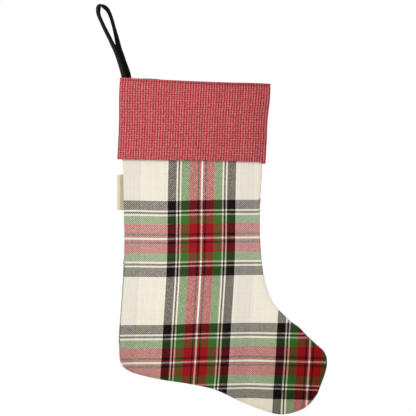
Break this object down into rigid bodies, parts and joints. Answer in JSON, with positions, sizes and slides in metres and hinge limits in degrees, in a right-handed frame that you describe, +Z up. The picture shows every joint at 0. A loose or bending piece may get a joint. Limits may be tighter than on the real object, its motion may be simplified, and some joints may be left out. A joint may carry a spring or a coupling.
{
  "type": "hanging stocking",
  "caption": "Cloth holiday stocking in red, green and black plaid on cream, with a turned-down red cuff and a black strap loop for hanging.",
  "frame": {"origin": "hook seat: the flat spot at the inside top of the strap loop, where a hook carries the stocking", "axes": "+Z up, +X towards the toe, -Y out of the front of the stocking"},
  "size_m": [0.3503, 0.0392, 0.6213],
  "materials": {
    "plaid_cloth": "woven plaid of cream, black, red and green yarns",
    "cuff_cloth": "woven fine stripes of red and pale yarn",
    "lining_cloth": "dark plain weave",
    "strap_cloth": "black folded cloth",
    "label_tape": "woven beige tape, blank",
    "pale_thread": "sewing thread",
    "red_thread": "sewing thread",
    "black_thread": "sewing thread"
  },
  "bodies": {
    "loop": {"loop_eye": "strap_cloth"},
    "strap_neck": {"loop_neck": "strap_cloth"},
    "stocking": {"front_panel": "plaid_cloth", "back_panel": "plaid_cloth", "front_lining": "lining_cloth", "back_lining": "lining_cloth", "side_seam_thread": "pale_thread", "lining_seam_thread": "black_thread", "cuff_top_fold": "cuff_cloth", "mouth_stitch_thread": "red_thread", "loop_tail": "strap_cloth", "loop_tack_thread": "black_thread"},
    "cuff_front_flap": {"cuff_front": "cuff_cloth"},
    "cuff_back_flap": {"cuff_back": "cuff_cloth"},
    "label": {"side_label": "label_tape"}
  },
  "joints": [
    {"name": "loop_swing", "type": "hinge", "parent": "loop", "child": "strap_neck", "pos_m": [0.0244, 0, -0.0665], "axis": [0, 1, 0], "range_deg": [-30, 40], "stiffness_Nm_per_rad": 0.6, "springref_deg": -13.96},
    {"name": "stocking_flop", "type": "hinge", "parent": "strap_neck", "child": "stocking", "pos_m": [0.0359, 0, -0.1029], "axis": [1, 0, 0], "range_deg": [-75, 75]},
    {"name": "cuff_front_lift", "type": "hinge", "parent": "stocking", "child": "cuff_front_flap", "pos_m": [0.13996, -0.01803, -0.11506], "axis": [-0.9993, 0, 0.0362], "range_deg": [0, 12], "stiffness_Nm_per_rad": 0.05},
    {"name": "cuff_back_lift", "type": "hinge", "parent": "stocking", "child": "cuff_back_flap", "pos_m": [0.13996, 0.01803, -0.11506], "axis": [0.9993, 0, -0.0362], "range_deg": [0, 12], "stiffness_Nm_per_rad": 0.05},
    {"name": "label_turn", "type": "hinge", "parent": "stocking", "child": "label", "pos_m": [0.0303, 0, -0.28], "axis": [0, 0, 1], "range_deg": [-70, 70]}
  ]
}
